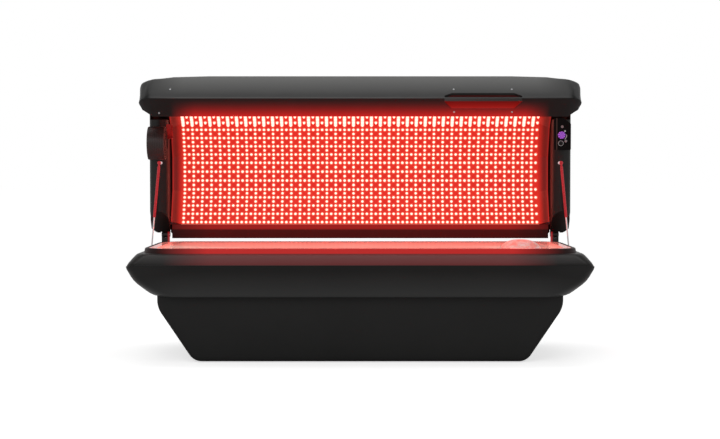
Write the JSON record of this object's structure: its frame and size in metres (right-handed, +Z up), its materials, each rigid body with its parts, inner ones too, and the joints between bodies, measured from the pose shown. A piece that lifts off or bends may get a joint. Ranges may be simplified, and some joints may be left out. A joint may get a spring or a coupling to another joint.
{
  "type": "red light therapy bed",
  "caption": "Clamshell red light therapy bed: hinged canopy with a faceted light vault over a bench with a clear curved lying sheet, gas struts, body fan and control panel.",
  "frame": {"origin": "middle of the bed's footprint on the floor, under the centre of the whole opened bed", "axes": "+X along the bed towards the headrest and the control panel, +Y from the open front to the hinge side, +Z up"},
  "size_m": [2.26, 1.055, 1.4158],
  "materials": {
    "shell_black": "high gloss",
    "shell_grey": "gloss",
    "satin_black": "satin",
    "cladding": "satin black powder coat",
    "frame_paint": "satin",
    "zinc": "zinc plated",
    "supply_case": "matt",
    "acrylic": "polished clear acrylic",
    "board": "coated, lit red",
    "carrier": "mill finish",
    "fan_black": "matt",
    "cushion": "soft translucent cover",
    "bracket": "satin",
    "reflector": "gloss",
    "rod_chrome": "polished",
    "strut_black": "gloss",
    "motor_case": "plain",
    "panel_gloss": "high gloss",
    "knob_violet": "gloss",
    "button_grey": "satin"
  },
  "bodies": {
    "bench": {"base_frame": "frame_paint", "levelling_feet": "satin_black", "pedestal_cladding": "cladding", "rear_vent_grilles": "cladding", "mains_gland": "satin_black", "power_supplies": "supply_case", "bench_lower_shell": "shell_black", "bench_upper_shell": "shell_grey", "bench_collar": "shell_grey", "lying_sheet": "acrylic", "bench_ribs": "carrier", "bench_led_boards": "board", "bench_fan_frames": "fan_black", "headrest_pillow": "cushion", "hinge_brackets": "bracket", "hinge_pins": "zinc", "strut_anchors": "zinc"},
    "canopy": {"canopy_shell": "shell_black", "front_lip": "shell_black", "front_apron": "reflector", "rear_rim": "reflector", "jamb_left": "satin_black", "jamb_right": "satin_black", "end_plates": "satin_black", "canopy_ribs": "carrier", "canopy_rails": "carrier", "canopy_led_boards": "board", "side_reflectors": "reflector", "hinge_leaves": "bracket", "handle_bar": "shell_black", "handle_cup": "satin_black", "fan_drum": "fan_black", "fan_grille": "fan_black", "fan_duct": "reflector", "fan_motor": "motor_case", "control_panel": "panel_gloss", "control_housing": "satin_black", "audio_socket": "satin_black", "strut_studs": "zinc"},
    "bench_fan_left": {"bench_fan_left": "fan_black"},
    "bench_fan_right": {"bench_fan_right": "fan_black"},
    "body_fan": {"fan_impeller": "fan_black"},
    "selector": {"selector_knob": "knob_violet"},
    "upper_button": {"button_upper": "button_grey"},
    "lower_button": {"button_lower": "button_grey"},
    "strut_tube_left": {"strut_cylinder_left": "strut_black"},
    "strut_tube_right": {"strut_cylinder_right": "strut_black"},
    "strut_rod_left": {"strut_rod_left": "rod_chrome"},
    "strut_rod_right": {"strut_rod_right": "rod_chrome"}
  },
  "joints": [
    {"name": "canopy_hinge", "type": "hinge", "parent": "bench", "child": "canopy", "pos_m": [0, 0.382, 0.589], "axis": [1, 0, 0], "range_deg": [0, 50]},
    {"name": "bench_fan_left_spin", "type": "hinge", "parent": "bench", "child": "bench_fan_left", "pos_m": [-0.384, -0.028, 0.35], "axis": [0, 0, 1], "continuous": true},
    {"name": "bench_fan_right_spin", "type": "hinge", "parent": "bench", "child": "bench_fan_right", "pos_m": [0.384, -0.028, 0.35], "axis": [0, 0, 1], "continuous": true},
    {"name": "body_fan_spin", "type": "hinge", "parent": "canopy", "child": "body_fan", "pos_m": [-1.047, 0.194, 1.075], "axis": [1, 0, 0], "continuous": true},
    {"name": "selector_turn", "type": "hinge", "parent": "canopy", "child": "selector", "pos_m": [1.059, 0.226, 1.118], "axis": [0, -1, 0], "range_deg": [-135, 135]},
    {"name": "upper_button_press", "type": "slide", "parent": "canopy", "child": "upper_button", "axis": [0, 1, 0], "range_m": [0, 0.0015], "stiffness_N_per_m": 400, "springref_m": -0.002},
    {"name": "lower_button_press", "type": "slide", "parent": "canopy", "child": "lower_button", "axis": [0, 1, 0], "range_m": [0, 0.0015], "stiffness_N_per_m": 400, "springref_m": -0.002},
    {"name": "strut_swing_left", "type": "hinge", "parent": "canopy", "child": "strut_tube_left", "pos_m": [-1.051, 0.177, 0.972], "axis": [0.9081, -0.3667, -0.2023], "range_deg": [-6, 0]},
    {"name": "strut_stroke_left", "type": "slide", "parent": "strut_tube_left", "child": "strut_rod_left", "axis": [-0.1211, 0.2323, -0.9651], "range_m": [-0.112, 0]},
    {"name": "strut_swing_right", "type": "hinge", "parent": "canopy", "child": "strut_tube_right", "pos_m": [1.051, 0.177, 0.972], "axis": [0.9081, 0.3667, 0.2023], "range_deg": [-6, 0]},
    {"name": "strut_stroke_right", "type": "slide", "parent": "strut_tube_right", "child": "strut_rod_right", "axis": [0.1211, 0.2323, -0.9651], "range_m": [-0.112, 0]}
  ],
  "couplings": [
    {"joint": "strut_swing_left", "follows": "canopy_hinge", "ratio": -0.092046},
    {"joint": "strut_stroke_left", "follows": "canopy_hinge", "m_per_rad": -0.12495},
    {"joint": "strut_swing_right", "follows": "canopy_hinge", "ratio": -0.092046},
    {"joint": "strut_stroke_right", "follows": "canopy_hinge", "m_per_rad": -0.12495}
  ]
}
